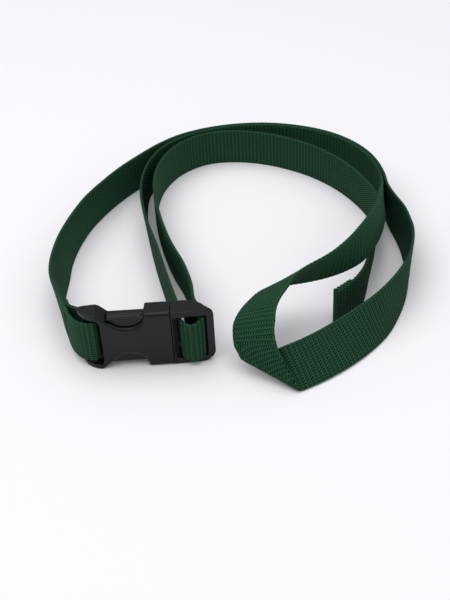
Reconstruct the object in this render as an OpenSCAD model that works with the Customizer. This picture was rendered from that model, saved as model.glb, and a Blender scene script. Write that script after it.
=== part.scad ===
// Luggage strap: one length of 25 mm ribbed webbing with a two-piece side-release buckle.
// The strap stands on its lower edge on the floor (z = 0), buckle to the viewer's side.
// Origin: on the floor under the seam between socket and plug. +X runs along the buckle
// toward the plug, +Y goes back into the loops, +Z is up.

/* [Webbing] */
// width of the webbing across its ribs
web_w = 25; // [20:0.5:26]
// thickness of the webbing
web_t = 1.6; // [1.2:0.1:1.7]
// length of the doubled-back hem at the free end
hem_len = 13; // [9:1:16]

/* [Buckle body] */
// height of the buckle across the webbing, collar size
buckle_h = 35; // [33:0.5:42]
// thickness of the collar, front to back
collar_t = 12; // [11:0.5:15]
// length of the full-section collar
collar_len = 11.5; // [9:0.5:13]
// length of the socket shell from the seam to its back wall
shell_len = 37; // [36:0.5:38]
// wall thickness of the shell
wall = 2; // [1.6:0.1:2.4]
// thickness of the ears, front to back
ear_y = 11; // [8:0.5:11.5]
// half length of the scooped finger windows
scoop_x = 10.8; // [8:0.2:11]
// depth of the finger windows into each long edge
scoop_z = 9.4; // [6:0.2:10]

/* [Webbing bars] */
// distance from the seam to the socket end bar
anchor_bar_x = 42.5; // [42:0.25:43]
// radius of the socket end bar
anchor_bar_r = 2.5; // [2:0.1:2.6]
// distance from the seam to the middle of the adjuster bar
adjust_bar_x = 10.5; // [10:0.25:11]
// length of the adjuster bar section along the strap
adjust_bar_w = 7; // [5:0.25:7.5]
// overall length of the plug frame beyond the seam
frame_len = 22.6; // [21.6:0.2:27]

/* [Release arms] */
// width of the arms, front to back
arm_w = 6.8; // [5:0.2:7.2]
// thickness of the spring part of each arm
arm_t = 2.2; // [1.6:0.1:2.4]
// how far the finger pads stand out past the mouth, which is what locks them
pad_rise = 1.6; // [1:0.1:2]

/* [Guide] */
// length of the guide tongue inside the shell
tongue_len = 28; // [18:1:32]
// height of the guide tongue
tongue_h = 6; // [4:0.5:8]

/* [Stitching] */
// thickness of the sewing thread standing on the webbing
thread_t = 0.35; // [0.25:0.05:0.6]

/* [Hidden] */

mid = buckle_h / 2;                 // height of the buckle's long axis above the floor
hollow_h = buckle_h - 2 * 2.6;      // cavity height behind the collar
mouth_h = buckle_h - 2 * 4.8;       // clear height of the mouth inside the collar
scoop_at = -23.1;                   // middle of the finger windows
catch_x = -13.4;                    // shoulder of the arms that catches behind the collar
pad_end = -33.4;                    // far end of the finger pads
hollow_t = collar_t - 2 * wall;     // cavity thickness
pad_y = hollow_t - 0.2;             // finger pads, front to back
ear_x = anchor_bar_x + 7.5;         // outer end of the ears
ear_t = 3.2;                        // ear height
ear_gap = web_w + 3.2;              // clear height between the ears
seam = 0.1;                         // gap between the two mouldings
flange_t = 3;                       // flange of the plug
rail_t = 3.6;                       // rails of the adjuster frame
end_bar_w = 4;                      // end bar of the adjuster frame
layer_gap = 0.08;                   // gap between two layers sewn together
start_gap = 0.02;                   // stations between the sewn loop and the outer arc
pivot_x = 0.7;                      // root of the release arms
pivot_r = 1.6;                      // rounded root radius
pivot_gap = 0.05;                   // running gap round the root
pivot_dz = 9.3;                     // root height off the buckle axis
steps = 4;                          // sections between two stations
rise = mid - 17.5;                  // lift of the webbing at the bars for a taller buckle
settle = web_w / 2 - 12.5;          // keeps the lower edge on the floor for another width
hold_y = 60;                        // how far back the buckle still lifts the webbing
hold_run = 35;                      // run over which that lift fades

// Stations along the webbing: [x, y, z of its middle, then the line across it to its first edge].
// That line is 25 long, and longer only where it lies along the slanting crease of the fold.
// The first edge is the upper one on the outer arc and the lower one after the fold.
route = [
  [-57.2, 22.8, 14.8, 0, 0, 25],
  [-55, 17, 15.2, 0, 0, 25],
  [-49.6, 12, 16.4, 0, 0, 25],
  [-44, 7.6, 17.2, 0, 0, 25],
  [-40, 2.4, 17.5, 0, 0, 25],
  [-39.2, -1.2, 17.5, 0, 0, 25],
  [-41.5, -3.4, 17.5, 0, 0, 25],
  [-45.4, -3, 17.4, 0, 0, 25],
  [-49.4, -0.4, 17, 0, 0, 25],
  [-52.6, 4.2, 16.4, 0, 0, 25],
  [-55.2, 10, 15.6, 0, 0, 25],
  [-57.6, 17.6, 15, 0, 0, 25],
  [-62.4, 32, 14, -1.6, 0, 24.6],
  [-66.4, 47, 13, -3.6, 0, 24.4],
  [-67.6, 61, 12.4, -5.6, 0, 24],
  [-67, 77, 12.4, -6, 0, 24],
  [-65.5, 94, 12.5, -4, 0, 25],
  [-61.5, 113, 12.5, -2, 0, 25],
  [-55, 133, 12.5, -1, 0, 25],
  [-46.5, 150, 12.5, 0, 0, 25],
  [-36, 167, 12.5, 0, 0, 25],
  [-23.5, 183, 12.5, 0, 0, 25],
  [-10, 198, 12.5, 0, 0, 25],
  [4, 209, 12.5, 0, 0, 25],
  [20, 216, 12.5, 0, 0, 25],
  [36, 219.6, 12.5, 0, 0, 25],
  [52, 220.4, 12.5, 0, 0, 25],
  [67, 218.8, 12.5, 0, 0, 25],
  [82, 214.5, 12.5, 0, 0, 25],
  [97, 207.4, 12.5, 0, 0, 25],
  [110, 198, 12.5, 0, 0, 25],
  [121, 185.5, 12.5, 0, 0, 25],
  [129, 171, 12.5, 0, 0, 25],
  [133.4, 156, 12.5, 0, 0, 25],
  [135.2, 141, 12.5, 0, 0, 25],
  [135.3, 127, 12.5, 0, 0, 25],
  [136.6, 114, 12.5, 2, 0, 25],
  [139, 101, 12.4, 4, 0, 25],
  [140, 88, 12.4, 4, 0, 25],
  [139.8, 75, 12.5, 4, 0, 25],
  [137.6, 60, 12.5, 2, 0, 25],
  [133.8, 47, 12.5, 0, 0, 25],
  [128, 34, 12.4, -3, 1, 25],
  [121, 22, 12.2, -5, 4, 24],
  [113, 11.5, 11.6, -8, 6, 22],
  [103.5, 2.5, 10.8, -10, 9, 20],
  [93, -6, 10, -11, 12, 18.5],
  [82, -14, 9.7, -10, 14.5, 18],
  [71.5, -20.5, 9.6, -9, 15, 18],
  [62.6, -25, 9.4, -9, 15, 17.8],
  [57.8, -25.2, 7.4, -15.6, 16.4, 13.4],
  [53.8, -25, 4.8, -22.6, 17.6, 7.6],
  [49.8, -24.7, 6.4, -28, 18.2, 6.8],
  [47.9, -22.6, 9.7, -28.6, 18.8, 6.2],
  [44.2, -18.7, 16, -23.8, 15.4, -2],
  [42.6, -13.6, 22, -21.4, 10, -9],
  [43.2, -7.4, 26.4, -22, 9.5, -9.5],
  [45, -1, 28.6, -20.5, 9.5, -11],
  [48, 5.8, 29.2, -20, 9.5, -12.5],
  [51.6, 12.2, 29, -19, 9.5, -13],
  [55.4, 18.2, 29, -18.4, 9.6, -14],
  [59.6, 22.8, 29.4, -17, 9.5, -16],
  [64, 25.4, 29.8, -15, 9.6, -17.6],
  [69.6, 27.2, 30.6, -13.4, 8.4, -19],
  [79.2, 29.2, 32.2, -11.4, 6, -21.2],
  [88.6, 31.8, 34.2, -7.4, 4, -23.4],
  [97.6, 36, 36.2, -2.5, 2.2, -24.6],
  [105.6, 42.2, 38, 1.4, 0.6, -24.8],
  [112.4, 51.6, 38.8, 3.2, 1.6, -24.6],
  [118.2, 63.6, 38.4, 4.2, 4, -24],
  [122, 75.4, 37, 5, 6.5, -23.4],
  [125.2, 89, 33.6, 5.5, 7.6, -23],
  [128.4, 105, 27, 4, 7, -23.4],
  [131, 119.4, 20, 2.6, 6, -24],
  [132.4, 132.6, 15, 1, 3, -24.6],
  [132.6, 144, 12.8, 0, 1, -25],
  [131.2, 156, 12.5, 0, 0, -25],
  [126.9, 170.1, 12.5, 0, 0, -25],
  [119.1, 184.2, 12.5, 0, 0, -25],
  [108.4, 196.3, 12.5, 0, 0, -25],
  [95.8, 205.5, 12.5, 0, 0, -25],
  [81.2, 212.4, 12.5, 0, 0, -25],
  [66.4, 216.6, 12.5, 0, 0, -25],
  [51.6, 218.2, 12.5, 0, 0, -25],
  [36.4, 217.2, 12.5, 0, 0, -25],
  [21.6, 213.6, 12.5, 0, 0, -25],
  [8, 207.4, 12.5, 0, 0, -25],
  [-3.4, 198, 12.5, 0, 0, -25],
  [-12.4, 184, 12.5, 0, 0, -25],
  [-18, 166, 12.5, 0, 0, -25],
  [-19.6, 144, 12.5, 1.6, 0, -25],
  [-17.6, 121, 12.5, 2.4, 0, -25],
  [-14, 98, 12.6, 1.6, 0, -25],
  [-9.2, 74, 13, 0, 0, -25],
  [-4.2, 48, 14.2, 0, 0, -25],
  [-0.4, 29, 15.6, 0, 0, -25],
  [2.4, 16, 16.4, 0, 0, -25],
  [4, 7, 16.8, 0, 0, -25],
  [4.5, 0.6, 16.7, 0, 0, -25],
  [5.6, -4.6, 16.7, 0, 0, -25],
  [10.8, -7.8, 15.6, 0, 0, -25],
  [16.4, -3.6, 16.7, 0, 0, -25],
  [17.2, 1.4, 16.7, 0, 0, -25],
  [15.6, 6.4, 16.8, 0, 0, -25],
  [12.2, 15, 16.4, 0, 0, -25],
  [10.8, 31, 15.4, 0, 0, -25],
  [6.6, 52, 14, 0, 0, -25],
  [-0.8, 76, 13, 0, 0, -25],
  [-6.8, 102, 12.6, 0, 0, -25],
  [-10.6, 126, 12.5, 0, 0, -25],
  [-12, 147, 12.5, 0, 0, -25],
  [-10.4, 165, 12.5, 0, 0, -25],
  [-5.6, 181, 12.5, 0, 0, -25],
  [2, 194, 12.5, 0, 0, -25],
  [11.6, 203.4, 12.5, 0, 0, -25],
  [23, 209.4, 12.5, 0, 0, -25],
  [36, 211, 12.5, 0, 0, -25],
  [50, 209, 12.5, 0, 0, -25],
  [64, 204, 12.5, 0, 0, -25],
  [78.4, 195.6, 12.5, 0, 0, -25],
  [91, 185.6, 12.5, 0, 0, -25],
  [101.6, 174, 12.5, 0, 0, -25],
  [110.6, 161, 12.5, 0, 0, -25],
  [117.6, 147, 12.5, 0, 0, -25],
  [122.8, 133, 12.5, 0, 0, -25],
  [125.8, 120, 12.4, -1, 0, -25],
  [125.8, 107, 12.4, -2, 0, -25],
  [123.8, 94.4, 12.4, -2, 1, -25],
  [120.8, 82, 12.4, -2, 1, -25],
  [117.4, 70, 12.4, -2, 1, -25],
  [114, 58.4, 12.4, -2, 1, -25],
  [110.4, 47.4, 12.4, -1, 0, -25],
  [106.4, 37, 12.4, 0, 0, -25],
  [99.4, 27, 12.4, 0, 0, -25],
  [89.6, 18.4, 12.4, 0, 0, -25]
];

// First and last station of each run of webbing.
anchor_run = [0, 11];
outer_run = [11, 34];
front_run = [34, 49];
fold_run = [49, 55];
upper_run = [55, 73];
middle_run = [73, 97];
wrap_run = [97, 103];
tail_run = [103, 134];
joint_at = 11;

// Smooth curve through the stations, evaluated at u stations from the start.
function pick(u) = let(r = route[max(0, min(len(route) - 1, u))])
  r + [0, 0, held(r) * rise + (1 - held(r)) * settle, 0, 0, 0];
// Share of a station's height that the buckle sets: 1 at the bars, 0 out in the loops.
function held(r) = r[0] < 30 && r[1] < hold_y ? min(1, (hold_y - r[1]) / hold_run) : 0;
function row(k, f) = let(a = pick(k - 1), b = pick(k), c = pick(k + 1), d = pick(k + 2))
  0.5 * (2 * b + (c - a) * f + (2 * a - 5 * b + 4 * c - d) * f * f
  + (3 * b - a - 3 * c + d) * f * f * f);
function drow(k, f) = let(a = pick(k - 1), b = pick(k), c = pick(k + 1), d = pick(k + 2))
  0.5 * ((c - a) + 2 * (2 * a - 5 * b + 4 * c - d) * f + 3 * (3 * b - a - 3 * c + d) * f * f);
function seg(u) = max(0, min(len(route) - 2, floor(u)));
function at(u) = row(seg(u), u - seg(u));
function along(u) = let(d = drow(seg(u), u - seg(u))) unit([d[0], d[1], d[2]]);
function unit(v) = v / norm(v);
// Local axes of the webbing at u: middle, direction to the first edge, outward face, half width.
function middle(u) = let(r = at(u)) [r[0], r[1], r[2]];
function edge(u) = let(r = at(u)) unit([r[3], r[4], r[5]]);
function face(u) = unit(cross(along(u), edge(u)));
function half(u) = let(r = at(u)) web_w / 2 * max(1, norm([r[3], r[4], r[5]]) / 25.4);
function section(u, lo, hi) = let(m = middle(u), e = edge(u) * half(u), n = face(u))
  [m + e + n * hi, m + e + n * lo, m - e + n * lo, m - e + n * hi];

// Strip of webbing between stations a and b, from lo to hi across its thickness.
module strip(a, b, lo = -web_t / 2, hi = web_t / 2, n = steps) {
  count = round((b - a) * n);
  cuts = [for (i = [0 : count]) a + (b - a) * i / count];
  pts = [for (u = cuts) each section(u, lo, hi)];
  last = 4 * count;
  sides = [for (i = [0 : count - 1], j = [0 : 3])
    [4 * i + j, 4 * i + (j + 1) % 4, 4 * (i + 1) + (j + 1) % 4, 4 * (i + 1) + j]];
  halves = [for (q = sides) each [[q[0], q[1], q[2]], [q[0], q[2], q[3]]]];
  ends = [[3, 2, 1, 0], [last, last + 1, last + 2, last + 3]];
  polyhedron(points = pts, faces = concat(halves, ends), convexity = 10);
}

// Child placed on the webbing at u: x along, y toward the first edge, z out of the face.
module on_web(u) {
  m = middle(u);
  e = edge(u);
  n = face(u);
  t = cross(e, n);
  multmatrix([[t[0], e[0], n[0], m[0]], [t[1], e[1], n[1], m[1]], [t[2], e[2], n[2], m[2]],
              [0, 0, 0, 1]]) children();
}

// Block with rounded long edges, x from a to b, centred on the buckle axis.
module rounded_block(a, b, t, h, r) {
  translate([a, 0, mid])
    rotate([90, 0, 90])
      linear_extrude(b - a)
        offset(r, $fn = 32)
          square([t - 2 * r, h - 2 * r], center = true);
}

// Flat plate drawn in x-z, extruded front to back and centred on y = 0.
module plate(t) {
  translate([0, t / 2, mid])
    rotate([90, 0, 0])
      linear_extrude(t)
        children();
}

module shell_outline() {
  hull() {
    translate([-collar_len, -buckle_h / 2])
      square([collar_len, buckle_h]);
    translate([-shell_len, -buckle_h / 2 + 2.4])
      square([4, buckle_h - 4.8]);
  }
}

// Rounded finger window in the upper long edge.
module scoop() {
  translate([scoop_at, buckle_h / 2])
    scale([scoop_x, scoop_z])
      circle(1, $fn = 96);
}

module socket_shell() {
  color("dimgray") {
    difference() {
      intersection() {
        rounded_block(-shell_len, 0, collar_t, buckle_h, 2.4);
        plate(collar_t + 2)
          shell_outline();
      }
      // cavity behind the collar
      translate([-shell_len + wall, -hollow_t / 2, mid - hollow_h / 2])
        cube([shell_len - wall - collar_len, hollow_t, hollow_h]);
      // mouth through the collar
      translate([-collar_len - 1, -hollow_t / 2, mid - mouth_h / 2])
        cube([collar_len + 2, hollow_t, mouth_h]);
      // finger windows, top and bottom, through both plates
      plate(collar_t + 4)
        scoop();
      plate(collar_t + 4)
        mirror([0, 1])
          scoop();
    }
    // ears that carry the end bar
    for (s = [-1, 1])
      plate(ear_y)
        scale([1, s])
          hull() {
            translate([-shell_len - 1, ear_gap / 2])
              square([2, ear_t]);
            translate([-ear_x + ear_t / 2, ear_gap / 2 + ear_t / 2 - 0.2])
              circle(ear_t / 2, $fn = 48);
          }
    // lip on the back plate, beside the end bar
    translate([-shell_len - 2.2, collar_t / 2 - 2, mid - ear_gap / 2])
      cube([2.4, 1.6, ear_gap]);
    // end bar
    translate([-anchor_bar_x, 0, mid - ear_gap / 2 - 0.5])
      cylinder(r = anchor_bar_r, h = ear_gap + 1, $fn = 64);
    // guide ribs each side of the tongue
    for (s = [-1, 1])
      translate([-shell_len + wall - 0.5, s > 0 ? hollow_t / 2 - 1.2 : -hollow_t / 2 - 0.3, mid - 1])
        cube([18, 1.5, 2]);
  }
}

// Side rail seen from above: as thick as the collar at the flange, thin at the end bar.
module rail_plan() {
  back = collar_t / 2 - 0.3;
  polygon([[seam, -back], [13.6, -5], [frame_len - 3.6, -4.2], [frame_len - 0.4, -4], [frame_len, -3.4],
           [frame_len, -1.8], [19, -1.4], [16.4, 2], [9.4, back - 0.3], [seam, back]]);
}

module plug_frame() {
  color("dimgray") {
    difference() {
      union() {
        // flange that closes the mouth of the collar
        rounded_block(seam, seam + 1, collar_t - 0.4, buckle_h - 0.4, 2.2);
        translate([seam, -3.6, 1])
          cube([flange_t - seam, 7.2, buckle_h - 2]);
        // rails
        for (z = [0.4, buckle_h - 0.4 - rail_t])
          translate([0, 0, z])
            linear_extrude(rail_t)
              rail_plan();
        // end bar
        translate([frame_len - end_bar_w, -4, 1.4])
          cube([end_bar_w - 0.3, 2.4, buckle_h - 2.8]);
      }
      // pockets for the rounded roots of the arms
      for (s = [-1, 1])
        translate([pivot_x, 0, mid + s * pivot_dz])
          rotate([90, 0, 0])
            cylinder(r = pivot_r + pivot_gap, h = arm_w + 0.3, center = true, $fn = 64);
    }
    // adjuster bar
    translate([adjust_bar_x, -1.2, 1])
      linear_extrude(buckle_h - 2)
        hull() {
          translate([-adjust_bar_w / 2 + 1.6, 0])
            circle(1.6, $fn = 48);
          translate([adjust_bar_w / 2 - 1.6, 0])
            circle(1.6, $fn = 48);
        }
    // guide tongue
    plate(3.6)
      hull() {
        translate([-tongue_len + 2, 0])
          circle(2, $fn = 32);
        translate([-4, -tongue_h / 2])
          square([4.2, tongue_h]);
      }
  }
}

// Rounded root and spring leaf of one arm, seen from the front.
module leaf_profile() {
  translate([pivot_x, pivot_dz])
    circle(pivot_r, $fn = 64);
  polygon([[pivot_x, pivot_dz - arm_t / 2 + 0.2], [pivot_x, pivot_dz + arm_t / 2 - 0.2],
           [catch_x - 1, pivot_dz + arm_t + 0.4], [catch_x - 1, pivot_dz + 0.2]]);
}

// Finger pad of one arm, with the square shoulder that catches behind the collar.
module pad_profile() {
  top = mouth_h / 2 + pad_rise;
  translate([pad_end, top - 5.8])
    hull() {
      translate([0.8, 0.8])
        circle(0.8, $fn = 32);
      translate([0.8, 5])
        circle(0.8, $fn = 32);
      translate([catch_x - pad_end - 0.5, 0])
        square([0.5, 5.8]);
    }
}

module release_arm() {
  plate(arm_w)
    leaf_profile();
  plate(pad_y)
    pad_profile();
}

module release_arm_upper() {
  color("gray")
    release_arm();
}

module release_arm_lower() {
  color("gray")
    translate([0, 0, buckle_h])
      mirror([0, 0, 1])
        release_arm();
}

module webbing_anchor_loop() {
  color("seagreen")
    strip(anchor_run[0], anchor_run[1]);
}

module webbing_outer_arc() {
  color("seagreen")
    strip(outer_run[0] + start_gap, outer_run[1]);
}

module webbing_front_run() {
  color("mediumseagreen")
    strip(front_run[0], front_run[1]);
}

module webbing_fold() {
  color("seagreen")
    strip(fold_run[0], fold_run[1], n = 6);
}

module webbing_upper_run() {
  color("mediumseagreen")
    strip(upper_run[0], upper_run[1]);
}

module webbing_middle_arc() {
  color("seagreen")
    strip(middle_run[0], middle_run[1]);
}

module webbing_bar_wrap() {
  color("mediumseagreen")
    strip(wrap_run[0], wrap_run[1]);
}

module webbing_tail() {
  color("seagreen")
    strip(tail_run[0], tail_run[1]);
}

// Hem: the end doubled back on the far side of the tail.
module webbing_hem() {
  span = hem_len / norm(middle(tail_run[1]) - middle(tail_run[1] - 1));
  first = tail_run[1] - round(span * steps) / steps;
  color("mediumseagreen")
    strip(first, tail_run[1], -web_t * 1.5, -web_t / 2 - layer_gap);
}

// Bar tack that closes the anchor loop: bars of thread on its two outer faces.
module anchor_stitching() {
  color("darkgreen")
    for (end = [joint_at - 0.2, 0.45], k = [-2 : 2])
      on_web(end + k * 0.06)
        translate([-0.35, -web_w / 2 + 3, -web_t / 2 - 0.04 - thread_t])
          cube([0.7, web_w - 6, thread_t]);
}

// One row of lock stitch across the hem.
module hem_stitching() {
  color("black")
    for (k = [-3 : 3])
      on_web(tail_run[1] - 0.8)
        translate([-0.4, k * 3 - 1.1, web_t / 2 + 0.04])
          cube([0.8, 2.2, thread_t]);
}

socket_shell();
plug_frame();
release_arm_upper();
release_arm_lower();
webbing_anchor_loop();
webbing_outer_arc();
webbing_front_run();
webbing_fold();
webbing_upper_run();
webbing_middle_arc();
webbing_bar_wrap();
webbing_tail();
webbing_hem();
anchor_stitching();
hem_stitching();
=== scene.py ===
# %% [markdown]
# # Luggage strap
# One length of 25 mm ribbed webbing stands on its edge in loose loops, turned under once at the
# front, and is closed by a moulded side-release buckle. Everything here is in metres in the
# strap's own frame: the origin is on the floor under the seam of the buckle, +X runs along the
# buckle to the plug, +Y goes back into the loops and +Z is up.

import math

import bmesh
import bpy
import numpy as np
from mathutils import Matrix, Vector


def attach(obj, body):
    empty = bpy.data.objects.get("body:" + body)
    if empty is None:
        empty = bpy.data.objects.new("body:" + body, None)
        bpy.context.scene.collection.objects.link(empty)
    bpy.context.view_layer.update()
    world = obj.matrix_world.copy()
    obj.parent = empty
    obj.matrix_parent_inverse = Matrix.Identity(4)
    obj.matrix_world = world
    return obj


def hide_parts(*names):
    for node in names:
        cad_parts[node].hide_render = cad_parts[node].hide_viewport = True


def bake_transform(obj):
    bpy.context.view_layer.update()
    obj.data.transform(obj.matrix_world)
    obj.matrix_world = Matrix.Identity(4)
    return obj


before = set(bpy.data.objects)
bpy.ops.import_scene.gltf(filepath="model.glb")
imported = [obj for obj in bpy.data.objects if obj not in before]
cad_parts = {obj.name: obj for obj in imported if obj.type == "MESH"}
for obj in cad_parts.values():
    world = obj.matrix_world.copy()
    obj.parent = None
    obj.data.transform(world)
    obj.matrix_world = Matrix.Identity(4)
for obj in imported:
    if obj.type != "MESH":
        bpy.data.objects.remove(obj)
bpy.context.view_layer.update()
MM = 0.001

# %% [markdown]
# ## Sizes
# The webbing is the common 25 mm kind, so its ribs lie about 2.6 mm apart and the raised beads
# of its warp about 1.5 mm apart. The buckle's sizes are those of the moulding that fits it. Each
# size has a name, in metres, because numbers typed into the shapes would soon disagree.

# %% Sizes
WEB_W = 25 * MM
WEB_T = 1.6 * MM
RIB_PITCH = 2.6 * MM
BEAD_PITCH = 1.5 * MM
SELVEDGE = 1.1 * MM
BUCKLE_H = 35 * MM
MID = BUCKLE_H / 2
COLLAR_T = 12 * MM
COLLAR_LEN = 11.5 * MM
SHELL_LEN = 37 * MM
HOLLOW_H = 29.8 * MM
HOLLOW_T = 8 * MM
MOUTH_H = 25.4 * MM
WINDOW_X = -23.1 * MM
EAR_GAP = 29.6 * MM
EAR_T = 2.8 * MM
ANCHOR_BAR_X = -42.5 * MM
ANCHOR_BAR_R = 2.5 * MM
ADJUST_BAR_X = 10.5 * MM
FRAME_LEN = 22.6 * MM
RAIL_T = 3.6 * MM
PAD_Y = 7.8 * MM
ARM_W = 6.8 * MM
print("buckle", round(BUCKLE_H / MM), "mm high on", round(WEB_W / MM), "mm webbing")

# %% [markdown]
# ## Route of the webbing
# Webbing bends easily along its length and hardly at all across it, so a strap that lies loose is
# told by where its middle goes and which way it faces. Cloth simulation could lay it, but it
# would settle somewhere else. Each station is the middle of the webbing and a line across it, in
# millimetres. The line is about 25 long, and longer only along the slanting crease of the fold.
# The stations are the same as in the solid model, because both describe one real length.

# %% Route
ROUTE = MM * np.array([
    [-57.2, 22.8, 14.8, 0, 0, 25],
    [-55, 17, 15.2, 0, 0, 25],
    [-49.6, 12, 16.4, 0, 0, 25],
    [-44, 7.6, 17.2, 0, 0, 25],
    [-40, 2.4, 17.5, 0, 0, 25],
    [-39.2, -1.2, 17.5, 0, 0, 25],
    [-41.5, -3.4, 17.5, 0, 0, 25],
    [-45.4, -3, 17.4, 0, 0, 25],
    [-49.4, -0.4, 17, 0, 0, 25],
    [-52.6, 4.2, 16.4, 0, 0, 25],
    [-55.2, 10, 15.6, 0, 0, 25],
    [-57.6, 17.6, 15, 0, 0, 25],
    [-62.4, 32, 14, -1.6, 0, 24.6],
    [-66.4, 47, 13, -3.6, 0, 24.4],
    [-67.6, 61, 12.4, -5.6, 0, 24],
    [-67, 77, 12.4, -6, 0, 24],
    [-65.5, 94, 12.5, -4, 0, 25],
    [-61.5, 113, 12.5, -2, 0, 25],
    [-55, 133, 12.5, -1, 0, 25],
    [-46.5, 150, 12.5, 0, 0, 25],
    [-36, 167, 12.5, 0, 0, 25],
    [-23.5, 183, 12.5, 0, 0, 25],
    [-10, 198, 12.5, 0, 0, 25],
    [4, 209, 12.5, 0, 0, 25],
    [20, 216, 12.5, 0, 0, 25],
    [36, 219.6, 12.5, 0, 0, 25],
    [52, 220.4, 12.5, 0, 0, 25],
    [67, 218.8, 12.5, 0, 0, 25],
    [82, 214.5, 12.5, 0, 0, 25],
    [97, 207.4, 12.5, 0, 0, 25],
    [110, 198, 12.5, 0, 0, 25],
    [121, 185.5, 12.5, 0, 0, 25],
    [129, 171, 12.5, 0, 0, 25],
    [133.4, 156, 12.5, 0, 0, 25],
    [135.2, 141, 12.5, 0, 0, 25],
    [135.3, 127, 12.5, 0, 0, 25],
    [136.6, 114, 12.5, 2, 0, 25],
    [139, 101, 12.4, 4, 0, 25],
    [140, 88, 12.4, 4, 0, 25],
    [139.8, 75, 12.5, 4, 0, 25],
    [137.6, 60, 12.5, 2, 0, 25],
    [133.8, 47, 12.5, 0, 0, 25],
    [128, 34, 12.4, -3, 1, 25],
    [121, 22, 12.2, -5, 4, 24],
    [113, 11.5, 11.6, -8, 6, 22],
    [103.5, 2.5, 10.8, -10, 9, 20],
    [93, -6, 10, -11, 12, 18.5],
    [82, -14, 9.7, -10, 14.5, 18],
    [71.5, -20.5, 9.6, -9, 15, 18],
    [62.6, -25, 9.4, -9, 15, 17.8],
    [57.8, -25.2, 7.4, -15.6, 16.4, 13.4],
    [53.8, -25, 4.8, -22.6, 17.6, 7.6],
    [49.8, -24.7, 6.4, -28, 18.2, 6.8],
    [47.9, -22.6, 9.7, -28.6, 18.8, 6.2],
    [44.2, -18.7, 16, -23.8, 15.4, -2],
    [42.6, -13.6, 22, -21.4, 10, -9],
    [43.2, -7.4, 26.4, -22, 9.5, -9.5],
    [45, -1, 28.6, -20.5, 9.5, -11],
    [48, 5.8, 29.2, -20, 9.5, -12.5],
    [51.6, 12.2, 29, -19, 9.5, -13],
    [55.4, 18.2, 29, -18.4, 9.6, -14],
    [59.6, 22.8, 29.4, -17, 9.5, -16],
    [64, 25.4, 29.8, -15, 9.6, -17.6],
    [69.6, 27.2, 30.6, -13.4, 8.4, -19],
    [79.2, 29.2, 32.2, -11.4, 6, -21.2],
    [88.6, 31.8, 34.2, -7.4, 4, -23.4],
    [97.6, 36, 36.2, -2.5, 2.2, -24.6],
    [105.6, 42.2, 38, 1.4, 0.6, -24.8],
    [112.4, 51.6, 38.8, 3.2, 1.6, -24.6],
    [118.2, 63.6, 38.4, 4.2, 4, -24],
    [122, 75.4, 37, 5, 6.5, -23.4],
    [125.2, 89, 33.6, 5.5, 7.6, -23],
    [128.4, 105, 27, 4, 7, -23.4],
    [131, 119.4, 20, 2.6, 6, -24],
    [132.4, 132.6, 15, 1, 3, -24.6],
    [132.6, 144, 12.8, 0, 1, -25],
    [131.2, 156, 12.5, 0, 0, -25],
    [126.9, 170.1, 12.5, 0, 0, -25],
    [119.1, 184.2, 12.5, 0, 0, -25],
    [108.4, 196.3, 12.5, 0, 0, -25],
    [95.8, 205.5, 12.5, 0, 0, -25],
    [81.2, 212.4, 12.5, 0, 0, -25],
    [66.4, 216.6, 12.5, 0, 0, -25],
    [51.6, 218.2, 12.5, 0, 0, -25],
    [36.4, 217.2, 12.5, 0, 0, -25],
    [21.6, 213.6, 12.5, 0, 0, -25],
    [8, 207.4, 12.5, 0, 0, -25],
    [-3.4, 198, 12.5, 0, 0, -25],
    [-12.4, 184, 12.5, 0, 0, -25],
    [-18, 166, 12.5, 0, 0, -25],
    [-19.6, 144, 12.5, 1.6, 0, -25],
    [-17.6, 121, 12.5, 2.4, 0, -25],
    [-14, 98, 12.6, 1.6, 0, -25],
    [-9.2, 74, 13, 0, 0, -25],
    [-4.2, 48, 14.2, 0, 0, -25],
    [-0.4, 29, 15.6, 0, 0, -25],
    [2.4, 16, 16.4, 0, 0, -25],
    [4, 7, 16.8, 0, 0, -25],
    [4.5, 0.6, 16.7, 0, 0, -25],
    [5.6, -4.6, 16.7, 0, 0, -25],
    [10.8, -7.8, 15.6, 0, 0, -25],
    [16.4, -3.6, 16.7, 0, 0, -25],
    [17.2, 1.4, 16.7, 0, 0, -25],
    [15.6, 6.4, 16.8, 0, 0, -25],
    [12.2, 15, 16.4, 0, 0, -25],
    [10.8, 31, 15.4, 0, 0, -25],
    [6.6, 52, 14, 0, 0, -25],
    [-0.8, 76, 13, 0, 0, -25],
    [-6.8, 102, 12.6, 0, 0, -25],
    [-10.6, 126, 12.5, 0, 0, -25],
    [-12, 147, 12.5, 0, 0, -25],
    [-10.4, 165, 12.5, 0, 0, -25],
    [-5.6, 181, 12.5, 0, 0, -25],
    [2, 194, 12.5, 0, 0, -25],
    [11.6, 203.4, 12.5, 0, 0, -25],
    [23, 209.4, 12.5, 0, 0, -25],
    [36, 211, 12.5, 0, 0, -25],
    [50, 209, 12.5, 0, 0, -25],
    [64, 204, 12.5, 0, 0, -25],
    [78.4, 195.6, 12.5, 0, 0, -25],
    [91, 185.6, 12.5, 0, 0, -25],
    [101.6, 174, 12.5, 0, 0, -25],
    [110.6, 161, 12.5, 0, 0, -25],
    [117.6, 147, 12.5, 0, 0, -25],
    [122.8, 133, 12.5, 0, 0, -25],
    [125.8, 120, 12.4, -1, 0, -25],
    [125.8, 107, 12.4, -2, 0, -25],
    [123.8, 94.4, 12.4, -2, 1, -25],
    [120.8, 82, 12.4, -2, 1, -25],
    [117.4, 70, 12.4, -2, 1, -25],
    [114, 58.4, 12.4, -2, 1, -25],
    [110.4, 47.4, 12.4, -1, 0, -25],
    [106.4, 37, 12.4, 0, 0, -25],
    [99.4, 27, 12.4, 0, 0, -25],
    [89.6, 18.4, 12.4, 0, 0, -25],
], float)
print("stations", len(ROUTE))

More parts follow.
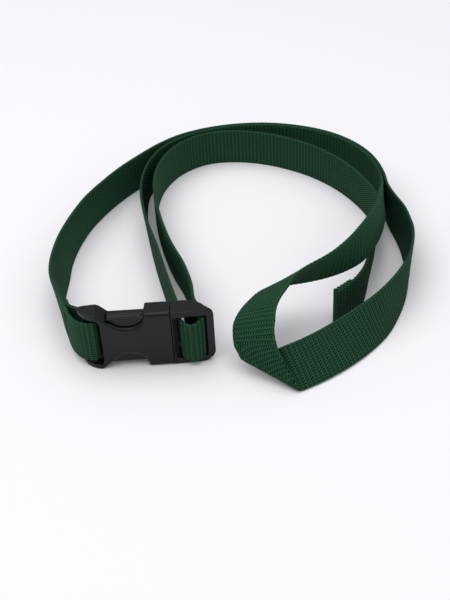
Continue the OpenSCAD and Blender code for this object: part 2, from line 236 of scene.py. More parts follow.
# %% [markdown]
# ## Camera
# The strap is seen from about arm's length, 37 degrees above the floor, through a 60 mm lens and
# with a slight tilt of the horizon. A camera can be aimed with a constraint, but working out its
# three directions keeps the tilt exact.

# %% Camera
LOOK_AT = Vector((29 * MM, 49 * MM, 0))
ELEVATION = math.radians(37)
DISTANCE = 0.58
TILT = math.radians(-3.5)


def make_camera():
    data = bpy.data.cameras.new("camera")
    data.lens = 60
    data.sensor_width = 36
    camera = bpy.data.objects.new("camera", data)
    bpy.context.collection.objects.link(camera)
    back = Vector((0, -math.cos(ELEVATION), math.sin(ELEVATION)))
    side = Vector((1, 0, 0))
    up = back.cross(side)
    right = side * math.cos(TILT) + up * math.sin(TILT)
    top = up * math.cos(TILT) - side * math.sin(TILT)
    turn = Matrix((right, top, back)).transposed().to_4x4()
    camera.matrix_world = Matrix.Translation(LOOK_AT + back * DISTANCE) @ turn
    bpy.context.scene.camera = camera
    return camera


camera = make_camera()
print("camera at", [round(c, 4) for c in camera.matrix_world.translation])

# %% [markdown]
# ## Colours and node helpers
# Colours are written as the eye reads them, in sRGB hex, and turned into linear light by one
# function. Shader nodes could be wired by hand in the editor, but a script can be read and run
# again. One function adds any node, sets its values and joins its inputs.


# %% Helpers
def linear(hex_colour):
    parts = [int(hex_colour[i:i + 2], 16) / 255 for i in (1, 3, 5)]
    return [p / 12.92 if p <= 0.04045 else ((p + 0.055) / 1.055) ** 2.4 for p in parts] + [1.0]


def add(tree, kind, settings=None, **inputs):
    """Adds one node. Inputs are plain values or another node's output."""
    made = tree.nodes.new("ShaderNode" + kind)
    for name, value in (settings or {}).items():
        setattr(made, name, value)
    for name, value in inputs.items():
        socket = made.inputs[int(name[1:])] if name[1:].isdigit() else made.inputs[name.replace("_", " ")]
        if isinstance(value, bpy.types.NodeSocket):
            tree.links.new(value, socket)
        else:
            socket.default_value = value
    return made


def per_mm(count):
    """Scale of a pattern that repeats this many times in a millimetre."""
    return count / MM


def maths(tree, operation, a, b=0.0, c=0.0):
    return add(tree, "Math", {"operation": operation}, _0=a, _1=b, _2=c).outputs[0]


def blend_colours(tree, factor, low, high):
    made = add(tree, "Mix", {"data_type": "RGBA"}, _0=factor, _6=low, _7=high)
    return made.outputs[2]


def new_material(name):
    material = bpy.data.materials.new(name)
    material.use_nodes = True
    tree = material.node_tree
    tree.nodes.clear()
    return material, tree


def finish_material(tree, shader):
    out = add(tree, "OutputMaterial")
    tree.links.new(shader.outputs[0], out.inputs[0])


# %% [markdown]
# ## Polyester webbing
# The webbing is woven with heavy weft ribs across it. Each rib shows as a row of leaning beads, where the
# warp passes over it, beside a smooth cord, with a groove between ribs. The colour is painted near black in
# the grooves and in the gaps between beads, and light green on the crowns and beads: painted shade and
# painted highlight laid over the real relief. A picture of cloth could be laid on it, but it would repeat
# and blur close up. Here the pattern is worked out from the distance along the webbing and the distance
# across it, which every webbing mesh carries in metres, so that it has its real size everywhere. Polyester
# yarn is dull: it starts from a roughness of 0.8 and a weak sheen. The yarn's own filaments are finer than
# can be seen, so the fuzz between them is drawn coarser than life, at 2.6 specks to the millimetre.


# %% Webbing material
def webbing_material():
    material, tree = new_material("polyester webbing, bottle green")
    place = add(tree, "UVMap", {"uv_map": "cloth"})
    split = add(tree, "SeparateXYZ", None, _0=place.outputs[0])
    along, across = split.outputs[0], split.outputs[1]
    wander = add(tree, "TexNoise", {"noise_dimensions": "3D"}, _2=per_mm(0.9), _3=2.0, _4=0.5)
    drift = maths(tree, "MULTIPLY", maths(tree, "SUBTRACT", wander.outputs[0], 0.5), 0.35)
    rib = maths(tree, "MULTIPLY_ADD", along, 1 / RIB_PITCH, maths(tree, "MULTIPLY", drift, 0.3))
    rib_number = maths(tree, "FLOOR", rib)
    rib_phase = maths(tree, "SUBTRACT", rib, rib_number)
    # 0 in the groove, 1 on the crown of the rib
    crown = maths(tree, "SINE", maths(tree, "MULTIPLY", rib_phase, math.pi))
    bead = maths(tree, "MULTIPLY_ADD", across, 1 / BEAD_PITCH, drift)
    # the beads lean one way and then back across the rib, like a plait
    fold = maths(tree, "ABSOLUTE", maths(tree, "SUBTRACT", rib_phase, 0.5))
    lean = maths(tree, "MULTIPLY_ADD", fold, 1.3, bead)
    wave = maths(tree, "SINE", maths(tree, "MULTIPLY", lean, 2 * math.pi))
    beads = maths(tree, "MULTIPLY_ADD", wave, 0.5, 0.5)
    # the warp shows as one row of leaning beads, the weft as a smooth cord beside it
    row = add(tree, "MapRange", {"interpolation_type": "SMOOTHSTEP"}, _0=rib_phase, _1=0.24, _2=0.36,
              _3=0.0, _4=1.0).outputs[0]
    cord = maths(tree, "MULTIPLY", maths(tree, "SUBTRACT", 1.0, row), maths(tree, "POWER", crown, 0.4))
    # painted highlight and shade: each bead is painted light on top and dark in the gaps beside it
    lit = add(tree, "MapRange", {"interpolation_type": "SMOOTHSTEP"}, _0=beads, _1=0.3, _2=0.75,
              _3=0.0, _4=0.95).outputs[0]
    beaded = maths(tree, "MULTIPLY", row, maths(tree, "MULTIPLY", lit, maths(tree, "POWER", crown, 0.3)))
    fuzz = add(tree, "TexNoise", {"noise_dimensions": "3D"}, _2=per_mm(2.6), _3=3.0, _4=0.65)
    patchy = add(tree, "TexNoise", {"noise_dimensions": "3D"}, _2=per_mm(0.06), _3=2.0, _4=0.5)
    thread = maths(tree, "ADD", cord, beaded)
    thread = maths(tree, "MULTIPLY_ADD", maths(tree, "SUBTRACT", fuzz.outputs[0], 0.5), 0.7, thread)
    edge = maths(tree, "ABSOLUTE", across)
    # painted highlight: both edges of the webbing, and its rounded rims, are painted a little lighter
    edge_highlight = add(tree, "MapRange", None, _0=edge, _1=WEB_W / 2 - SELVEDGE, _2=WEB_W / 2 - SELVEDGE * 0.6,
                   _3=0.0, _4=0.15).outputs[0]
    thread = maths(tree, "ADD", thread, edge_highlight)
    # painted shade: the near-black colour of the grooves and the gaps between beads, varied a little at
    # random; the light green it is mixed with is the painted highlight on the crowns and beads
    groove_shade = blend_colours(tree, patchy.outputs[0], linear("#020a05"), linear("#031109"))
    colour = blend_colours(tree, thread, groove_shade, linear("#2a5c3f"))
    relief = maths(tree, "MULTIPLY_ADD", thread, 0.8, maths(tree, "MULTIPLY", crown, 0.3))
    bump = add(tree, "Bump", None, Strength=0.8, Distance=0.35 * MM, Height=relief)
    shader = add(tree, "BsdfPrincipled", None, Base_Color=colour, Roughness=0.8,
                 Specular_IOR_Level=0.15, Normal=bump.outputs[0])
    finish_material(tree, shader)
    return material


webbing = webbing_material()
print("material", webbing.name)

# %% [markdown]
# ## Moulded acetal
# Buckles of this kind are moulded in black acetal with a fine spark-eroded texture: dark grey
# rather than black under soft light, with a broad dull sheen and slight mottling from handling.
# A single grey would look like card. A fine grain in the bump breaks the highlight, and a slow
# mottle, about 7 mm across, moves both the colour and the roughness a little. The grain is drawn
# at five specks to the millimetre, coarser than the real texture, so that it shows at all.
#
# The sewing thread is twisted polyester, a shade darker than the webbing, and the floor is matt
# white paper with a slight tooth.


# %% Buckle material
def acetal_material():
    material, tree = new_material("moulded acetal, black")
    grain = add(tree, "TexNoise", {"noise_dimensions": "3D"}, _2=per_mm(5.2), _3=2.0, _4=0.6)
    mottle = add(tree, "TexNoise", {"noise_dimensions": "3D"}, _2=per_mm(0.14), _3=3.0, _4=0.6)
    colour = blend_colours(tree, mottle.outputs[0], linear("#07090a"), linear("#0c1012"))
    rough = add(tree, "MapRange", None, _0=mottle.outputs[0], _1=0.3, _2=0.7, _3=0.27, _4=0.36).outputs[0]
    bump = add(tree, "Bump", None, Strength=0.25, Distance=0.05 * MM, Height=grain.outputs[0])
    shader = add(tree, "BsdfPrincipled", None, Base_Color=colour, Roughness=rough,
                 Specular_IOR_Level=0.28, Normal=bump.outputs[0])
    finish_material(tree, shader)
    return material


# %% Thread material
def thread_material():
    material, tree = new_material("bonded polyester thread, dark green")
    twist = add(tree, "TexNoise", {"noise_dimensions": "3D"}, _2=per_mm(3.0), _3=2.0, _4=0.5)
    colour = blend_colours(tree, twist.outputs[0], linear("#0c2416"), linear("#1a3d28"))
    bump = add(tree, "Bump", None, Strength=0.4, Distance=0.1 * MM, Height=twist.outputs[0])
    shader = add(tree, "BsdfPrincipled", None, Base_Color=colour, Roughness=0.6,
                 Normal=bump.outputs[0])
    finish_material(tree, shader)
    return material


# %% Paper material
def floor_material():
    material, tree = new_material("matt white paper")
    tooth = add(tree, "TexNoise", {"noise_dimensions": "3D"}, _2=per_mm(0.9), _3=2.0, _4=0.5)
    bump = add(tree, "Bump", None, Strength=0.03, Distance=0.1 * MM, Height=tooth.outputs[0])
    shader = add(tree, "BsdfPrincipled", None, Base_Color=linear("#f8f7fa"), Roughness=0.8,
                 Specular_IOR_Level=0.2, Normal=bump.outputs[0])
    finish_material(tree, shader)
    return material


acetal = acetal_material()
thread = thread_material()
paper = floor_material()
print("materials", [m.name for m in (acetal, thread, paper)])

# %% [markdown]
# ## Building the webbing
# A strip like this could be a curve with a flat bevel, but a bevel can't turn over at a fold or
# carry ribs. Here a smooth curve runs through the stations, and sections across the webbing are
# cut along it, six to each rib. On each section the webbing is a flat loop with rounded
# selvedges, thicker on the crown of a rib and thinner in the groove, so that the ribs are real
# relief and not only shading.


# %% Smooth route
def spline(u):
    """Place and cross line at u stations, with their rates of change, for an array u."""
    k = np.clip(np.floor(u).astype(int), 0, len(ROUTE) - 2)
    f = (u - k)[:, None]
    a, b, c, d = (ROUTE[np.clip(k + i, 0, len(ROUTE) - 1)] for i in (-1, 0, 1, 2))
    value = 0.5 * (2 * b + (c - a) * f + (2 * a - 5 * b + 4 * c - d) * f ** 2
                   + (3 * b - a - 3 * c + d) * f ** 3)
    rate = 0.5 * ((c - a) + 2 * (2 * a - 5 * b + 4 * c - d) * f + 3 * (3 * b - a - 3 * c + d) * f ** 2)
    return value, rate


def unit(v):
    return v / np.linalg.norm(v, axis=-1, keepdims=True)


# %% Length of the webbing
FINE = np.linspace(0, len(ROUTE) - 1, 40 * (len(ROUTE) - 1) + 1)
FINE_AT = spline(FINE)[0][:, :3]
FINE_LENGTH = np.concatenate([[0], np.cumsum(np.linalg.norm(np.diff(FINE_AT, axis=0), axis=1))])
print("webbing length, m", round(float(FINE_LENGTH[-1]), 3))

# %% Sections across the webbing
STEP = RIB_PITCH / 6


def sections(first, last):
    """Distances along the webbing, middles, cross directions, half lengths, faces, headings."""
    start, end = np.interp([first, last], FINE, FINE_LENGTH)
    s = np.linspace(start, end, max(2, int(round((end - start) / STEP)) + 1))
    value, rate = spline(np.interp(s, FINE_LENGTH, FINE))
    heading = unit(rate[:, :3])
    edge = unit(value[:, 3:])
    half = WEB_W / 2 * np.maximum(1, np.linalg.norm(value[:, 3:], axis=1) / (25.4 * MM))
    return s, value[:, :3], edge, half, unit(np.cross(heading, edge)), heading


# the loop across the webbing: share of the half width, share of the half thickness
ACROSS = np.linspace(-0.955, 0.955, 17)
ROUND = [(0.985, 0.72), (1.0, 0.3), (1.0, -0.3), (0.985, -0.72)]
LOOP = ([(x, 1.0) for x in ACROSS] + ROUND + [(x, -1.0) for x in ACROSS[::-1]]
        + [(-x, -y) for x, y in ROUND])


def rib_height(s):
    return 0.72 + 0.38 * np.abs(np.sin(math.pi * s / RIB_PITCH)) ** 0.8


# %% Webbing mesh
def webbing_piece(name, first, last, low=-1.0, high=1.0):
    """A closed mesh of webbing between two stations, from low to high in half thicknesses."""
    s, middle, edge, half, face, heading = sections(first, last)
    # the ribs lie along the sections, except in the fold, where the crease cuts across them
    slanted = np.clip((half / (WEB_W / 2) - 1.0) / 0.05, 0, 1)
    skew = np.sum(edge * heading, axis=1) * slanted
    straight = np.sqrt(1 - skew ** 2)
    loop = np.array(LOOP)
    x, y = loop[:, 0], loop[:, 1]
    offset = half[:, None] * x[None, :]
    cloth_s = s[:, None] + offset * skew[:, None]
    cloth_t = offset * straight[:, None]
    relief = rib_height(cloth_s)
    level = np.where(y > 0, high * y, low * -y)[None, :] * relief * WEB_T / 2
    points = (middle[:, None, :] + edge[:, None, :] * offset[..., None]
              + face[:, None, :] * level[..., None])
    rows, cols = len(s), len(loop)
    mesh = bpy.data.meshes.new(name)
    i, j = np.meshgrid(np.arange(rows - 1), np.arange(cols), indexing="ij")
    a, b = i * cols + j, i * cols + (j + 1) % cols
    quads = np.stack([a, b, b + cols, a + cols], -1).reshape(-1, 4)
    caps = [list(range(cols))[::-1], [(rows - 1) * cols + c for c in range(cols)]]
    mesh.from_pydata(points.reshape(-1, 3), [], quads.tolist() + caps)
    cloth = np.stack([cloth_s, cloth_t], -1).reshape(-1, 2)
    layer = mesh.uv_layers.new(name="cloth")
    corner = np.zeros(len(mesh.loops), int)
    mesh.loops.foreach_get("vertex_index", corner)
    layer.data.foreach_set("uv", cloth[corner].ravel().astype(np.float32))
    mesh.polygons.foreach_set("use_smooth", [True] * len(mesh.polygons))
    mesh.materials.append(webbing)
    made = bpy.data.objects.new(name, mesh)
    bpy.context.collection.objects.link(made)
    return made


# %% [markdown]
# ## The runs of webbing
# The real webbing is one piece. Here it could be one mesh too, but then nothing would tell which part moves
# with the socket. It is cut into runs where the solid model has them, so that each run stands for its own
# solid, and the runs meet end to end at the same station. The outer arc is cut once more: the part beside
# the socket bends when the socket is drawn off the plug, so here it is joined to neither body and stays
# where it lies.

# %% Webbing runs
HEM_FIRST = 133
END = len(ROUTE) - 1
RUNS = [
    ("anchor_loop", 0, 11, "webbing_anchor_loop", "socket"),
    ("outer_arc_by_socket", 11, 16, "webbing_outer_arc", None),
    ("outer_arc", 16, 34, "webbing_outer_arc", "strap"),
    ("front_run", 34, 49, "webbing_front_run", "strap"),
    ("fold", 49, 55, "webbing_fold", "strap"),
    ("upper_run", 55, 73, "webbing_upper_run", "strap"),
    ("middle_arc", 73, 97, "webbing_middle_arc", "strap"),
    ("bar_wrap", 97, 103, "webbing_bar_wrap", "strap"),
    ("tail", 103, HEM_FIRST, "webbing_tail", "strap"),
]
for run_name, first, last, node_name, body in RUNS:
    made = webbing_piece(run_name, first, last)
    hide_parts(node_name)
    if body:
        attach(made, body)
    else:
        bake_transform(made)
    print(run_name, len(made.data.vertices), "points")

# the end is turned back on itself, so the hem is two thicknesses deep
hem = webbing_piece("hem", HEM_FIRST, END, low=-3.0, high=1.0)
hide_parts("webbing_hem")
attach(hem, "strap")
print("hem", len(hem.data.vertices), "points")

# %% [markdown]
# ## Buckle
# The two mouldings are cut from blocks, as a tool maker would cut the mould: an outline is given
# its thickness and hollows are cut away. Bevels fail where many cuts meet, so every edge is
# rounded in another way: the finished solid is rebuilt on a fine grid and smoothed, which leaves
# the small radius that mould tools leave.


# %% Solid helpers
SWAP = {"X": Matrix(((0, 0, 1), (1, 0, 0), (0, 1, 0))).to_4x4(),
        "Y": Matrix(((1, 0, 0), (0, 0, 1), (0, 1, 0))).to_4x4(),
        "Z": Matrix.Identity(4)}


def loft(name, rings):
    """Closed solid through rings of points, all with the same count."""
    shape = bmesh.new()
    made_rings = [[shape.verts.new(point) for point in ring] for ring in rings]
    count = len(rings[0])
    for low, high in zip(made_rings, made_rings[1:]):
        for k in range(count):
            shape.faces.new((low[k], low[(k + 1) % count], high[(k + 1) % count], high[k]))
    shape.faces.new(made_rings[0][::-1])
    shape.faces.new(made_rings[-1])
    bmesh.ops.recalc_face_normals(shape, faces=shape.faces)
    mesh = bpy.data.meshes.new(name)
    shape.to_mesh(mesh)
    shape.free()
    made = bpy.data.objects.new(name, mesh)
    bpy.context.collection.objects.link(made)
    return made


def prism(name, outline, low, high, axis="Y"):
    """Solid with a flat outline, from low to high along an axis. The outline's two numbers are
    (x, z) for a solid along Y, (x, y) along Z and (y, z) along X."""
    turn = SWAP[axis]
    rings = [[turn @ Vector((a, b, level)) for a, b in outline] for level in (low, high)]
    return loft(name, rings)


def box(name, low, high):
    outline = [(low[0], low[2]), (high[0], low[2]), (high[0], high[2]), (low[0], high[2])]
    return prism(name, outline, low[1], high[1])


# %% Curved outlines
def arc(cx, cz, r, start, end, count=16):
    angles = np.radians(np.linspace(start, end, count))
    return [(cx + r * math.cos(a), cz + r * math.sin(a)) for a in angles]


def ellipse(cx, cz, half_x, half_z, count=64):
    angles = np.radians(np.arange(count) * 360 / count)
    return [(cx + half_x * math.cos(a), cz + half_z * math.sin(a)) for a in angles]


def rounded_corners(half_a, half_b, r, centre_b=0.0, count=8):
    """Outline of a rectangle with rounded corners, centred at (0, centre_b)."""
    corners = ((half_a - r, half_b - r, 0), (r - half_a, half_b - r, 90),
               (r - half_a, r - half_b, 180), (half_a - r, r - half_b, 270))
    outline = []
    for a, b, turn in corners:
        outline += arc(a, centre_b + b, r, turn, turn + 90, count)
    return outline


# %% Cutting, joining and softening
def combine(target, other, operation):
    tool = target.modifiers.new(operation.lower(), "BOOLEAN")
    tool.operation = operation
    tool.object = other
    tool.solver = "EXACT"
    bpy.context.view_layer.objects.active = target
    bpy.ops.object.modifier_apply(modifier=tool.name)
    bpy.data.objects.remove(other)
    return target


def soften(target, grain, passes=5):
    """Rounds every edge by about a grain: the solid is rebuilt on a fine grid and smoothed."""
    bpy.context.view_layer.objects.active = target
    rebuild = target.modifiers.new("rebuild", "REMESH")
    rebuild.mode = "VOXEL"
    rebuild.voxel_size = grain
    bpy.ops.object.modifier_apply(modifier=rebuild.name)
    smooth = target.modifiers.new("smooth", "SMOOTH")
    smooth.factor = 0.5
    smooth.iterations = passes
    bpy.ops.object.modifier_apply(modifier=smooth.name)
    target.data.shade_smooth()
    return target


def dress(target, material, body, *nodes, slot="buckle_plastic"):
    target.data.materials.clear()
    target.data.materials.append(material)
    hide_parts(*nodes)
    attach(target, body)
    return target


def flipped(outline):
    """The same outline mirrored top to bottom about the buckle's long axis."""
    return [(x, BUCKLE_H - z) for x, z in outline]


# %% [markdown]
# ### Socket
# The shell is a flat box with rounded long edges. A finger window is let into each long edge
# through both plates, and its rim rolls inward with a 2 mm radius. Two ears hold the end bar,
# and the back plate ends in a lip beside it. Modelling its skin face by face would be slow to
# change, so it is a block with the windows, the hollow and the slopes cut from it.

# %% Socket outlines
RIM = 2.0 * MM
WINDOW_HALF_X = 9.6 * MM
WINDOW_HALF_Z = 8.8 * MM


def shell_outline():
    inset = 2.4 * MM
    return [(-SHELL_LEN, inset), (-COLLAR_LEN - 3 * MM, 0.5 * MM), (-COLLAR_LEN, 0), (0, 0),
            (0, BUCKLE_H), (-COLLAR_LEN, BUCKLE_H), (-COLLAR_LEN - 3 * MM, BUCKLE_H - 0.5 * MM),
            (-SHELL_LEN, BUCKLE_H - inset)]


def window(name, upside_down):
    """Cutter for one finger window: elliptical, wider at the two faces of the shell."""
    depths = [0, 0.15, 0.4, 0.8, 1.3, 2.0]
    levels = []
    for depth in depths:
        spread = RIM - math.sqrt(max(0, RIM ** 2 - (RIM - depth * MM) ** 2))
        levels.append((-COLLAR_T / 2 + depth * MM, spread))
    levels = [(-COLLAR_T, RIM)] + levels
    levels += [(-y, spread) for y, spread in levels[::-1]]
    centre = 0 if upside_down else BUCKLE_H
    rings = []
    for y, spread in levels:
        rim = ellipse(WINDOW_X, centre, WINDOW_HALF_X + spread, WINDOW_HALF_Z + spread)
        rings.append([(x, y, z) for x, z in rim])
    return loft(name, rings)


def ear_plan():
    """An ear seen from above: it narrows to a rounded end."""
    return [(x * MM, y * MM) for x, y in
            ((-35.6, -5.9), (-38.6, -5.9), (-41.4, -5.2), (-44.2, -3.6), (-46.6, -1.4), (-48.2, 1),
             (-48.8, 3), (-48.2, 4.6), (-46, 5.2), (-42, 5.7), (-38, 5.9), (-35.6, 5.9))]


def shoulder():
    low = MID + EAR_GAP / 2
    return [(-38.2 * MM, low), (-37.4 * MM, 30.4 * MM), (-36.8 * MM, 28.4 * MM), (-33.6 * MM, 28.4 * MM),
            (-33.6 * MM, low + EAR_T), (-38.2 * MM, low + EAR_T)]


def shoulder_cut():
    return [(-39.6 * MM, 36.2 * MM), (-38.8 * MM, 35.1 * MM), (-37 * MM, 33.8 * MM),
            (-33.4 * MM, 30.4 * MM), (-30.4 * MM, 29.2 * MM), (-30.4 * MM, 38 * MM), (-39.6 * MM, 38 * MM)]


# %% Socket moulding
def build_socket():
    shell = prism("socket_shell_looks", rounded_corners(COLLAR_T / 2, BUCKLE_H / 2, 2.0 * MM, MID),
                  -SHELL_LEN, 0, axis="X")
    combine(shell, prism("outline", shell_outline(), -COLLAR_T, COLLAR_T), "INTERSECT")
    combine(shell, box("hollow", (-SHELL_LEN + 2 * MM, -HOLLOW_T / 2, MID - HOLLOW_H / 2),
                       (-COLLAR_LEN, HOLLOW_T / 2, MID + HOLLOW_H / 2)), "DIFFERENCE")
    combine(shell, box("mouth", (-COLLAR_LEN - 1 * MM, -HOLLOW_T / 2, MID - MOUTH_H / 2),
                       (2 * MM, HOLLOW_T / 2, MID + MOUTH_H / 2)), "DIFFERENCE")
    for upside_down in (False, True):
        combine(shell, window("window", upside_down), "DIFFERENCE")
    for upside_down in (False, True):
        low, high = MID + EAR_GAP / 2, MID + EAR_GAP / 2 + EAR_T
        if upside_down:
            low, high = BUCKLE_H - high, BUCKLE_H - low
        combine(shell, prism("ear", ear_plan(), low, high, axis="Z"), "UNION")
        side = flipped(shoulder()) if upside_down else shoulder()
        combine(shell, prism("shoulder", side, -5.95 * MM, 5.95 * MM), "UNION")
        slope = flipped(shoulder_cut()) if upside_down else shoulder_cut()
        combine(shell, prism("slope", slope, -20 * MM, 20 * MM), "DIFFERENCE")
    combine(shell, box("lip", (-SHELL_LEN - 2.2 * MM, 4 * MM, MID - EAR_GAP / 2),
                       (-SHELL_LEN + 0.4 * MM, 5.6 * MM, MID + EAR_GAP / 2)), "UNION")
    combine(shell, prism("bar", ellipse(ANCHOR_BAR_X, 0, ANCHOR_BAR_R, ANCHOR_BAR_R, 40),
                         MID - EAR_GAP / 2 - 0.5 * MM, MID + EAR_GAP / 2 + 0.5 * MM, axis="Z"), "UNION")
    soften(shell, 0.33 * MM, passes=6)
    return dress(shell, acetal, "socket", "socket_shell")


socket = build_socket()
print("socket", len(socket.data.polygons), "faces")

# %% [markdown]
# ### Plug
# The plug has a flange that closes the collar, two rails that taper toward the end bar, the
# adjuster bar between them, and a guide tongue that runs into the shell between the spring arms.
# Two thin ribs stand beside the flange, in the recess next to the webbing. Its outlines are drawn
# in the view that shows each one best, and joined where the moulding is one piece.

# %% Plug outlines
SEAM = 0.25 * MM


def rail_plan():
    return [(x * MM, y * MM) for x, y in
            ((0.25, -5.7), (7, -5.4), (13.6, -5), (19, -4.2), (22.2, -4), (22.6, -3.6), (22.6, -1.8),
             (19, -1.4), (16.4, 2), (13, 4.2), (9.4, 5.4), (0.25, 5.7))]


# %% Plug moulding
def build_plug():
    plug = prism("plug_frame_looks", rounded_corners(5.7 * MM, 17.3 * MM, 1.8 * MM, MID),
                 SEAM, 1.1 * MM, axis="X")
    for low in (0.4 * MM, BUCKLE_H - 0.4 * MM - RAIL_T):
        combine(plug, prism("rail", rail_plan(), low, low + RAIL_T, axis="Z"), "UNION")
    combine(plug, box("root", (SEAM, -3.4 * MM, 1.2 * MM), (3 * MM, 4.4 * MM, BUCKLE_H - 1.2 * MM)),
            "UNION")
    for low, high, front in ((1.5, 1.9, -4.9), (2.6, 3.1, -4.5)):
        combine(plug, box("rib", (low * MM, front * MM, 3.6 * MM), (high * MM, 0, BUCKLE_H - 3.6 * MM)),
                "UNION")
    combine(plug, box("end", (FRAME_LEN - 4 * MM, -4 * MM, 1.4 * MM),
                      (FRAME_LEN - 0.1 * MM, -1.6 * MM, BUCKLE_H - 1.4 * MM)), "UNION")
    combine(plug, box("inner_lip", (18.1 * MM, -3.4 * MM, 2 * MM),
                      (19.4 * MM, 1.2 * MM, BUCKLE_H - 2 * MM)), "UNION")
    combine(plug, box("backing", (2.8 * MM, -3.2 * MM, 2 * MM), (3.6 * MM, -0.4 * MM, BUCKLE_H - 2 * MM)),
            "UNION")
    combine(plug, box("brow", (1 * MM, 2.6 * MM, 29.6 * MM), (9 * MM, 5.2 * MM, 31.6 * MM)), "UNION")
    crest = [(18.4 * MM, 35.6 * MM), (18.4 * MM, 34.6 * MM), (20.6 * MM, 33.9 * MM), (21.9 * MM, 32.6 * MM),
             (22.7 * MM, 30.4 * MM), (24 * MM, 30 * MM), (24 * MM, 36 * MM)]
    combine(plug, prism("crest", crest, -8 * MM, 8 * MM), "DIFFERENCE")
    corner = [(15.6 * MM, -1 * MM), (24 * MM, -1 * MM), (24 * MM, 6.6 * MM), (22.6 * MM, 6 * MM),
              (21.4 * MM, 3.2 * MM), (19 * MM, 1.3 * MM)]
    combine(plug, prism("corner", corner, -8 * MM, 8 * MM), "DIFFERENCE")
    bar = ([(ADJUST_BAR_X + 1.9 * MM + x, y - 1.2 * MM) for x, y in arc(0, 0, 1.6 * MM, -90, 90, 14)]
           + [(ADJUST_BAR_X - 1.9 * MM + x, y - 1.2 * MM) for x, y in arc(0, 0, 1.6 * MM, 90, 270, 14)])
    combine(plug, prism("bar", bar, 1.2 * MM, BUCKLE_H - 1.2 * MM, axis="Z"), "UNION")
    tongue = ([(0.6 * MM, MID - 3 * MM), (0.6 * MM, MID + 3 * MM), (-4 * MM, MID + 3 * MM)]
              + arc(-26 * MM, MID, 2 * MM, 90, 270, 12) + [(-4 * MM, MID - 3 * MM)])
    combine(plug, prism("tongue", tongue, -1.8 * MM, 1.8 * MM), "UNION")
    soften(plug, 0.28 * MM)
    return dress(plug, acetal, "strap", "plug_frame")


plug = build_plug()
print("plug", len(plug.data.polygons), "faces")

# %% [markdown]
# ### Release arms
# Each arm is a spring leaf that widens into a finger pad in the window. The pad's flat top has a
# shallow groove along it, and it ends in the square shoulder that catches behind the collar. The
# lower arm is the upper one mirrored, so one function makes both and they can't differ.


# %% Arms
def build_arm(name, upside_down):
    top = MID + MOUTH_H / 2 + 1.6 * MM
    pad = [(-33.4 * MM, top - 5.2 * MM), (-33.4 * MM, top), (-13.7 * MM, top), (-13.7 * MM, top - 5.8 * MM),
           (-32.8 * MM, top - 5.8 * MM)]
    leaf = [(-15 * MM, MID + 9.6 * MM), (-15 * MM, MID + 11.8 * MM), (0.8 * MM, MID + 10.3 * MM),
            (0.8 * MM, MID + 8.3 * MM)]
    arm = prism(name + "_looks", pad, -PAD_Y / 2, PAD_Y / 2)
    combine(arm, prism("groove", ellipse(-1.3 * MM, top + 0.5 * MM, 1.7 * MM, 1.5 * MM, 32),
                       -33.9 * MM, -15.2 * MM, axis="X"), "DIFFERENCE")
    combine(arm, prism("leaf", leaf, -ARM_W / 2, ARM_W / 2), "UNION")
    if upside_down:
        arm.data.transform(Matrix.Translation((0, 0, BUCKLE_H)) @ Matrix.Diagonal((1, 1, -1, 1)))
        arm.data.flip_normals()
    soften(arm, 0.28 * MM)
    return dress(arm, acetal, "arm_lower" if upside_down else "arm_upper", name)


arms = [build_arm("release_arm_upper", False), build_arm("release_arm_lower", True)]
print("arms", [a.name for a in arms])

# %% [markdown]
# ## Stitching
# The loop round the end bar is closed with a bar tack, a dense block of short stitches, and the
# hem at the free end with one row of lock stitch. The tack is drawn as two zigzag threads and
# the hem as short threads that dip into the webbing at both ends. They could be bump alone, but
# thread stands proud and casts a small shadow, so it is real geometry.


# %% Stitching
def on_webbing(u, across, out):
    """Point on the webbing at station u, across it and out of its first face."""
    value, rate = spline(np.array([float(u)]))
    edge = unit(value[:, 3:])[0]
    face = unit(np.cross(unit(rate[:, :3]), edge[None, :]))[0]
    return value[0, :3] + edge * across + face * out


THREAD_R = 0.22 * MM
THREAD_SIDES = [(THREAD_R * math.cos(a), THREAD_R * math.sin(a))
                for a in np.radians(np.arange(0, 360, 60))]


def stitches(name, rows, body, nodes):
    """Joins short threads, each a list of points, into one mesh of small tubes."""
    shape = bmesh.new()
    for points in rows:
        ring_before = None
        for k, point in enumerate(points):
            ahead = np.array(points[min(k + 1, len(points) - 1)]) - np.array(points[max(k - 1, 0)])
            turn = Vector(ahead).to_track_quat("Z", "Y").to_matrix()
            ring = [shape.verts.new(Vector(point) + turn @ Vector((side_x, side_y, 0)))
                    for side_x, side_y in THREAD_SIDES]
            if ring_before:
                for q in range(6):
                    shape.faces.new((ring_before[q], ring_before[(q + 1) % 6], ring[(q + 1) % 6], ring[q]))
            ring_before = ring
    mesh = bpy.data.meshes.new(name)
    shape.to_mesh(mesh)
    shape.free()
    made = bpy.data.objects.new(name, mesh)
    bpy.context.collection.objects.link(made)
    mesh.shade_smooth()
    return dress(made, thread, body, *nodes, slot="thread")


def zigzag(first, last, half, turns, out):
    return [on_webbing(first + (last - first) * k / turns, half * (1 if k % 2 else -1), out)
            for k in range(turns + 1)]


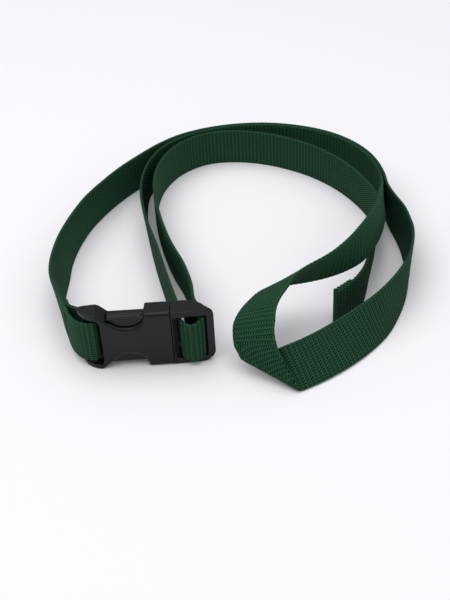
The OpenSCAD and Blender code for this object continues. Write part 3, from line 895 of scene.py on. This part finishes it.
# %% Tack and hem
# the tack lies where the loop's end meets the webbing that goes back into the arc
OUTER = -WEB_T * 0.52
tack_rows = [zigzag(10.5, 10.9, 8 * MM, 18, OUTER), zigzag(0.2, 0.7, 9 * MM, 22, OUTER)]
stitches("bar_tack", tack_rows, "socket", ["anchor_stitching"])
hem_rows = []
for k in range(-4, 5):
    low, high = (k * 2.6 - 1) * MM, (k * 2.6 + 1) * MM
    knots = ((low, 0.3), (low * 0.8 + high * 0.2, 0.6), (low * 0.2 + high * 0.8, 0.6), (high, 0.3))
    hem_rows.append([on_webbing(END - 0.8, across, out * WEB_T) for across, out in knots])
stitches("hem_stitch", hem_rows, "strap", ["hem_stitching"])
print("rows of thread", len(hem_rows) + len(tack_rows))

# %% [markdown]
# ## Floor and light
# The strap stands on white paper under a wide soft light from above, with a bright surround that
# leaves only a faint shadow at its foot. A small hard lamp would draw sharp shadows of every
# loop. The surround is dimmer at the horizon than overhead, so that upright plastic stays dark
# while the paper is bright. The picture is shown with the plain sRGB curve, which keeps white
# paper white.


# %% Floor
def build_floor():
    half = 3.0
    shape = bmesh.new()
    plan = ((-half, -half), (half, -half), (half, half), (-half, half))
    shape.faces.new([shape.verts.new((x, y, 0)) for x, y in plan])
    mesh = bpy.data.meshes.new("floor")
    shape.to_mesh(mesh)
    shape.free()
    made = bpy.data.objects.new("floor", mesh)
    bpy.context.collection.objects.link(made)
    mesh.materials.append(paper)


# %% Lights
def soft_light(name, place, target, size, watts):
    data = bpy.data.lights.new(name, "AREA")
    data.shape = "DISK"
    data.size = size
    data.energy = watts
    made = bpy.data.objects.new(name, data)
    bpy.context.collection.objects.link(made)
    made.location = place
    made.rotation_euler = (Vector(target) - Vector(place)).to_track_quat("-Z", "Y").to_euler()


def surround(hex_colour, horizon, overhead):
    """An even surround that grows brighter from the horizon to overhead."""
    world = bpy.data.worlds.new("surround")
    bpy.context.scene.world = world
    world.use_nodes = True
    tree = world.node_tree
    tree.nodes.clear()
    way = add(tree, "TexCoord")
    height = add(tree, "SeparateXYZ", None, _0=way.outputs["Generated"]).outputs[2]
    glow = add(tree, "MapRange", None, _0=height, _1=0.0, _2=0.9, _3=horizon, _4=overhead).outputs[0]
    sky = add(tree, "Background", None, _0=linear(hex_colour), _1=glow)
    out = add(tree, "OutputWorld")
    tree.links.new(sky.outputs[0], out.inputs[0])


bpy.context.scene.view_settings.view_transform = "Standard"
build_floor()
surround("#fbfaff", 0.25, 0.62)
soft_light("key", (-0.3, 0.05, 1.5), (0.03, 0.08, 0), 2.4, 19)
soft_light("fill", (0.9, -0.9, 0.9), (0.03, 0.05, 0), 1.0, 2)
print("lights set")
